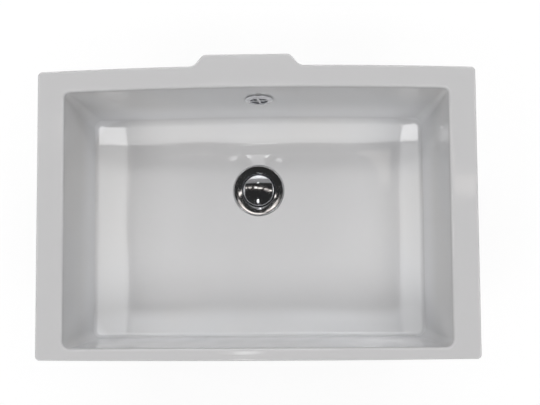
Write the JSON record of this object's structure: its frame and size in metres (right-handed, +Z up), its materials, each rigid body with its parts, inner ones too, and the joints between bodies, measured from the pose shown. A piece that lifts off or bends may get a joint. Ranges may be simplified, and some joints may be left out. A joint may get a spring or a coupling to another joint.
{
  "type": "bathroom sink",
  "caption": "Rectangular white ceramic undercounter washbasin with a back overflow and a round push-open waste.",
  "frame": {"origin": "on the rim's top plane, in the middle of the rim's rectangle (the swelling over the overflow duct left out)", "axes": "+Z up, out of the bowl's mouth; +Y to the back, towards the overflow; +X to the right"},
  "size_m": [0.51, 0.3546, 0.225],
  "materials": {
    "glaze": "gloss white glaze",
    "chromed_brass": "polished chrome plate on brass",
    "chromed_cap": "polished chrome plate",
    "chromed_rose": "polished chrome plate",
    "bare_brass": "turned brass",
    "spring_steel": "drawn stainless wire",
    "black_rubber": "matt black rubber",
    "grey_rubber": "matt grey rubber",
    "white_plastic": "moulded white plastic",
    "cartridge_plastic": "moulded dark plastic"
  },
  "bodies": {
    "bowl": {"basin": "glaze", "waste_body": "chromed_brass", "flange_gasket": "grey_rubber", "cone_washer": "black_rubber", "slip_washer": "white_plastic", "lock_nut": "bare_brass", "cartridge_housing": "cartridge_plastic", "stem_seal": "black_rubber", "guide_sleeve": "white_plastic", "cartridge_base": "bare_brass", "hub_nut": "bare_brass", "cartridge_spring": "spring_steel", "overflow_rose": "chromed_rose", "overflow_gasket": "grey_rubber", "overflow_bush": "white_plastic"},
    "plug": {"plug_cap": "chromed_cap", "plug_seal": "black_rubber", "plug_stem": "bare_brass"},
    "ratchet": {"ratchet_rotor": "cartridge_plastic"}
  },
  "joints": [
    {"name": "plug_lift", "type": "slide", "parent": "bowl", "child": "plug", "axis": [0, 0, 1], "range_m": [0, 0.008], "deforming": ["cartridge_spring"]},
    {"name": "ratchet_turn", "type": "hinge", "parent": "plug", "child": "ratchet", "pos_m": [-0.0025, 0.036, -0.17], "axis": [0, 0, 1], "range_deg": [0, 45]}
  ],
  "couplings": [
    {"joint": "ratchet_turn", "follows": "plug_lift", "rad_per_m": 98}
  ]
}
